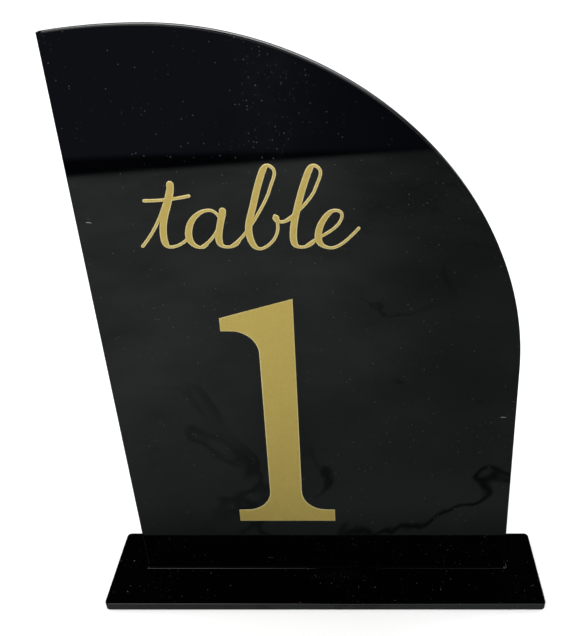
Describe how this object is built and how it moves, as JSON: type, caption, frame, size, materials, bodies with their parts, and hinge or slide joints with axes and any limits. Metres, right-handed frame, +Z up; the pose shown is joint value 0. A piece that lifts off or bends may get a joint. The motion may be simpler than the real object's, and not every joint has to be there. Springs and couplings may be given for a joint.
{
  "type": "table number holder",
  "caption": "Half-arch table number sign in gloss black acrylic, standing in a slotted base strip, with gold vinyl lettering and a numeral.",
  "frame": {"origin": "centre of the base strip's underside", "axes": "+Z up out of the base strip, the sign's front face towards -Y, +X to the right of someone reading the sign"},
  "size_m": [0.1504, 0.034, 0.1795],
  "materials": {
    "black_acrylic": "gloss",
    "gold_vinyl": "satin metallic"
  },
  "bodies": {
    "stand": {"base_plate": "black_acrylic"},
    "sign": {"sign_panel": "black_acrylic", "word_decal": "gold_vinyl", "numeral_decal": "gold_vinyl"}
  },
  "joints": [
    {"name": "sign_lift", "type": "slide", "parent": "stand", "child": "sign", "axis": [0, 0, 1], "range_m": [0, 0.02]}
  ]
}
